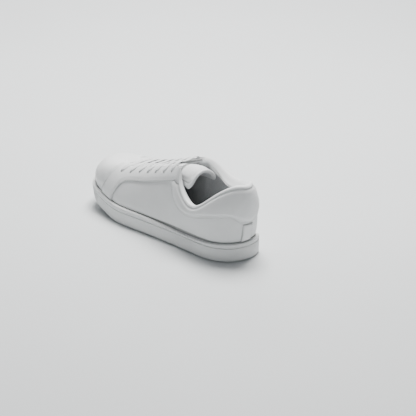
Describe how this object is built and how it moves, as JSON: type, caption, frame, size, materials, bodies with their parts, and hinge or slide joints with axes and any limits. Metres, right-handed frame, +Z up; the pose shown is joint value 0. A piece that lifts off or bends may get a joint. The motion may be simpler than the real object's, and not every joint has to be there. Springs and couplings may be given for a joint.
{
  "type": "court shoe",
  "caption": "Low lace-up court shoe for the left foot, with a rubber cup sole, stitched smooth upper, padded collar and a tongue that tilts.",
  "frame": {"origin": "flat of the tread under the middle of the shoe", "axes": "+X towards the toe, +Y towards the outer (lateral) side, +Z up"},
  "size_m": [0.2995, 0.1051, 0.1086],
  "materials": {
    "rubber": "satin",
    "leather": "smooth, semi-matt",
    "lining": "knit",
    "foam": "open foam",
    "board": "pressed fibre",
    "lace": "flat woven",
    "aglet": "clear film"
  },
  "bodies": {
    "shoe": {"cupsole": "rubber", "midsole_core": "foam", "insole_board": "board", "sockliner": "lining", "vamp": "leather", "vamp_lining": "lining", "toe_puff": "board", "lateral_quarter": "leather", "medial_quarter": "leather", "lateral_eyestay": "leather", "medial_eyestay": "leather", "lateral_eyelet_tape": "board", "medial_eyelet_tape": "board", "lateral_quarter_lining": "lining", "medial_quarter_lining": "lining", "collar_panel": "leather", "collar_foam": "foam", "collar_binding": "leather", "heel_lining": "lining", "heel_counter": "board", "heel_strip": "leather", "shoelace": "lace", "front_aglet": "aglet", "top_aglet": "aglet"},
    "tongue": {"tongue_face": "leather", "tongue_foam": "foam", "tongue_lining": "lining", "tongue_binding": "leather"}
  },
  "joints": [
    {"name": "tongue_tilt", "type": "hinge", "parent": "shoe", "child": "tongue", "pos_m": [0.096, 0, 0.0605], "axis": [0, -1, 0], "range_deg": [0, 10], "stiffness_Nm_per_rad": 0.15, "springref_deg": -14.32}
  ]
}
